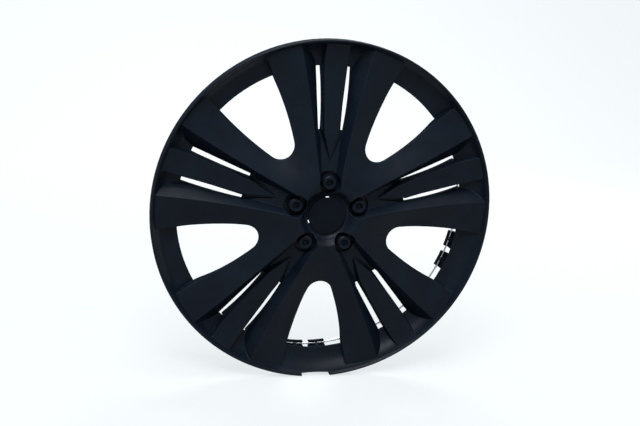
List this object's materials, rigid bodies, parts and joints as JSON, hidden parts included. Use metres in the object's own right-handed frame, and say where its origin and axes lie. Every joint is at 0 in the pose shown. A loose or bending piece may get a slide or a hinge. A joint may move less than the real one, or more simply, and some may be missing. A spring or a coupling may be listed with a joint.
{
  "type": "wheel cover",
  "caption": "Round moulded wheel cover with paired blades, slotted troughs, imitation nuts, a plain centre cap and a wire ring that presses its spring fingers into a steel wheel.",
  "frame": {"origin": "on the axle line, in the plane of the rim's back edge where the cover meets the wheel", "axes": "+Y along the axle towards the wheel, the face looks along -Y, a spoke points along +Z and the valve notch along -Z"},
  "size_m": [0.416, 0.0743, 0.4154],
  "materials": {
    "cover_plastic": "satin black moulded plastic",
    "ring_steel": "bright drawn spring wire",
    "cap_plastic": "satin black moulded plastic, plain face"
  },
  "bodies": {
    "root": {"wheel_cover": "cover_plastic", "retaining_ring": "ring_steel", "centre_cap": "cap_plastic"}
  },
  "joints": []
}
